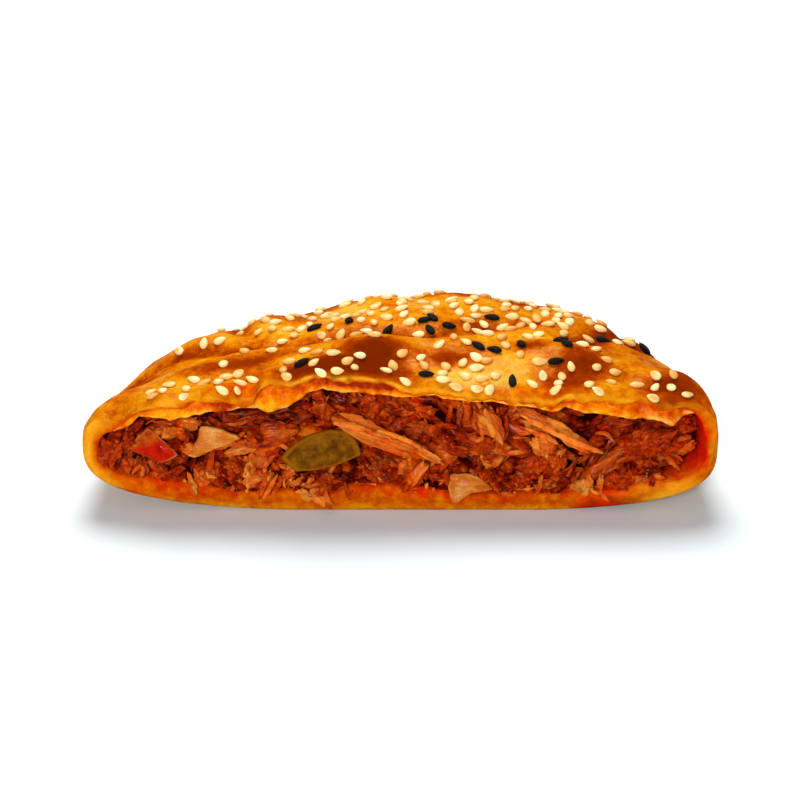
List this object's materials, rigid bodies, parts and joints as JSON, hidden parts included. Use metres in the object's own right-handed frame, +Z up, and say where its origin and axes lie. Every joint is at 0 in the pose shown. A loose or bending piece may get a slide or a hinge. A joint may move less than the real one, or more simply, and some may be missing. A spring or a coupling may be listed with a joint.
{
  "type": "tuna pie",
  "caption": "Half of a baked tuna pie: a golden, seeded pastry pocket cut open along its front, with flaked tuna, pickle, red pepper and onion inside.",
  "frame": {"origin": "centre of the part's bounding box, on the surface it lies on", "axes": "+Z up, +X along the cut face to the viewer's right, -Y out of the cut face towards the viewer"},
  "size_m": [0.1346, 0.071, 0.0345],
  "materials": {
    "crust": "baked egg-washed pastry, satin",
    "filling": "moist flaked tuna in tomato sauce",
    "tuna": "moist cooked fish",
    "pickle": "wet pickle",
    "red_pepper": "glossy cooked pepper",
    "onion": "soft cooked onion, glossy"
  },
  "bodies": {
    "root": {"crust": "crust", "filling": "filling", "pickle_slice": "pickle", "red_pepper_piece": "red_pepper", "onion_piece_left": "onion", "onion_piece_low": "onion", "tuna_flake_left": "tuna", "tuna_flake_mid": "tuna", "tuna_flake_upright": "tuna", "tuna_flake_right": "tuna", "tuna_flake_far_right": "tuna", "tuna_chunk_left": "tuna", "tuna_chunk_low": "tuna", "tuna_chunk_mid": "tuna", "tuna_chunk_right": "tuna"}
  },
  "joints": []
}
